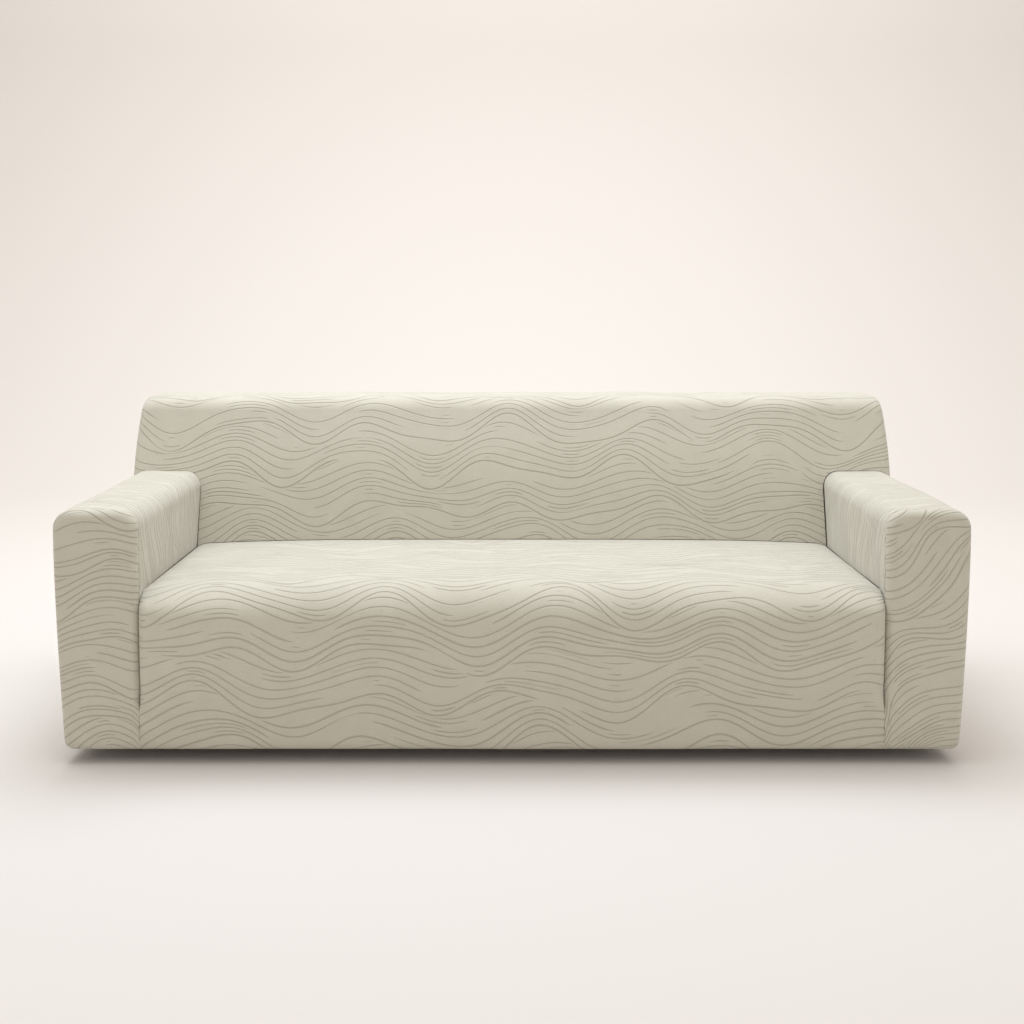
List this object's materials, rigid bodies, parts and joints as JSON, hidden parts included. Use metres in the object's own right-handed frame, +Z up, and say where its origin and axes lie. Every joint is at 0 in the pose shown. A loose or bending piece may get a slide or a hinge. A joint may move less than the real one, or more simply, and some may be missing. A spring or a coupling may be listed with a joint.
{
  "type": "sofa slipcover",
  "caption": "Fitted stretch slipcover for a sofa with arms: hollow, open underneath, with an elastic hem, sewn from jacquard knit with a wave relief.",
  "frame": {"origin": "under the cloth at the middle of the backrest's top, where the sofa carries the cover", "axes": "+X along the sofa, to the right for someone facing its front; -Y out of the front; +Z up"},
  "size_m": [2.2, 0.917, 0.794],
  "materials": {
    "cover_cloth": "matte knitted jacquard, warm greige, with engraved taupe wave lines"
  },
  "bodies": {
    "root": {"seat_panel": "cover_cloth", "back_inside": "cover_cloth", "back_outside": "cover_cloth", "arm_left": "cover_cloth", "arm_right": "cover_cloth", "arm_front_left": "cover_cloth", "arm_front_right": "cover_cloth", "back_side_left": "cover_cloth", "back_side_right": "cover_cloth"}
  },
  "joints": []
}
